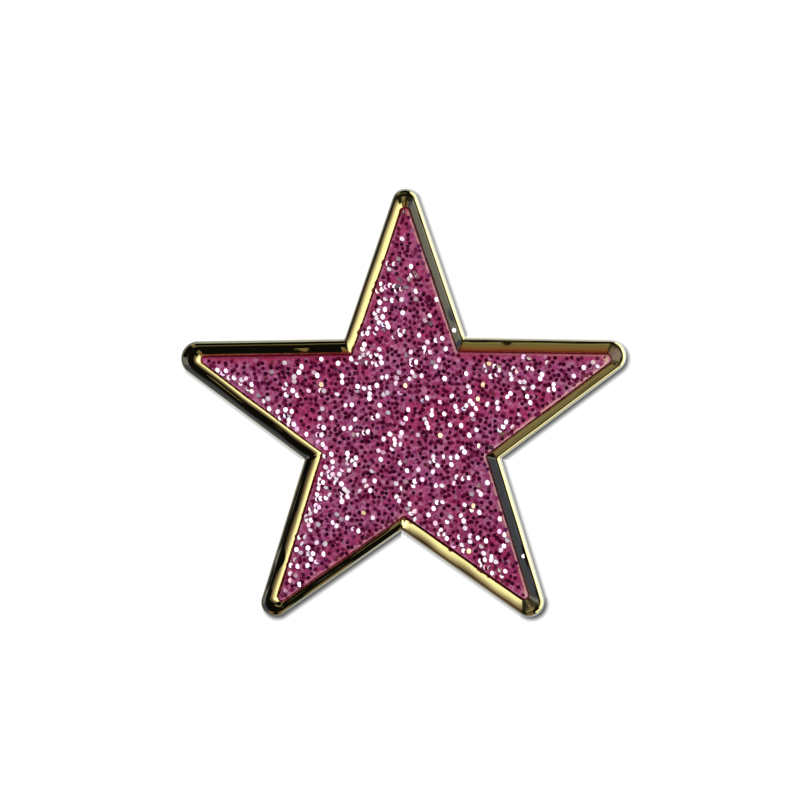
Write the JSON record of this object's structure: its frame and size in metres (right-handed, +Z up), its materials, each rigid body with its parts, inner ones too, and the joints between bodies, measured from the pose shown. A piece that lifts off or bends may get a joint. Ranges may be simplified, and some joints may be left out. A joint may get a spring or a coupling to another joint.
{
  "type": "enamel pin",
  "caption": "Star-shaped lapel pin: gold-plated tray filled with pink glitter resin, nail post on the back, and a butterfly clutch whose wings squeeze to let the post go.",
  "frame": {"origin": "middle of the star's back face, where the post leaves it and the cloth rests", "axes": "+Y along the post, away from the back face; the star faces -Y; +Z up through the top arm; +X to the right as the star is looked at"},
  "size_m": [0.025, 0.0096, 0.0238],
  "materials": {
    "gold_plate": "polished gold plate over die-struck metal",
    "glitter_resin": "translucent pink resin full of hexagonal glitter flakes, glossy",
    "post_brass": "turned brass, thinly gold plated",
    "solder": "smooth solder fillet under plating",
    "clutch_brass": "stamped brass, satin",
    "clutch_spring_brass": "sprung brass strip, satin"
  },
  "bodies": {
    "star": {"star_base": "gold_plate", "enamel_fill": "glitter_resin", "pin_post": "post_brass", "post_solder": "solder"},
    "clutch_base": {"clutch_disc": "clutch_brass"},
    "clutch_top": {"clutch_cap": "clutch_brass"},
    "wing_left": {"clutch_wing_left": "clutch_spring_brass"},
    "wing_right": {"clutch_wing_right": "clutch_spring_brass"}
  },
  "joints": [
    {"name": "clutch_slide", "type": "slide", "parent": "star", "child": "clutch_base", "axis": [0, 1, 0], "range_m": [-0.0019, 0.0065]},
    {"name": "clutch_spin", "type": "hinge", "parent": "clutch_base", "child": "clutch_top", "pos_m": [0, 0.0029, 0], "axis": [0, 1, 0], "continuous": true},
    {"name": "wing_right_squeeze", "type": "hinge", "parent": "clutch_top", "child": "wing_right", "pos_m": [0.0029, 0.00428, 0], "axis": [0, 0, 1], "range_deg": [0, 12], "stiffness_Nm_per_rad": 0.03},
    {"name": "wing_left_squeeze", "type": "hinge", "parent": "clutch_top", "child": "wing_left", "pos_m": [-0.0029, 0.00428, 0], "axis": [0, 0, -1], "range_deg": [0, 12], "stiffness_Nm_per_rad": 0.03}
  ]
}
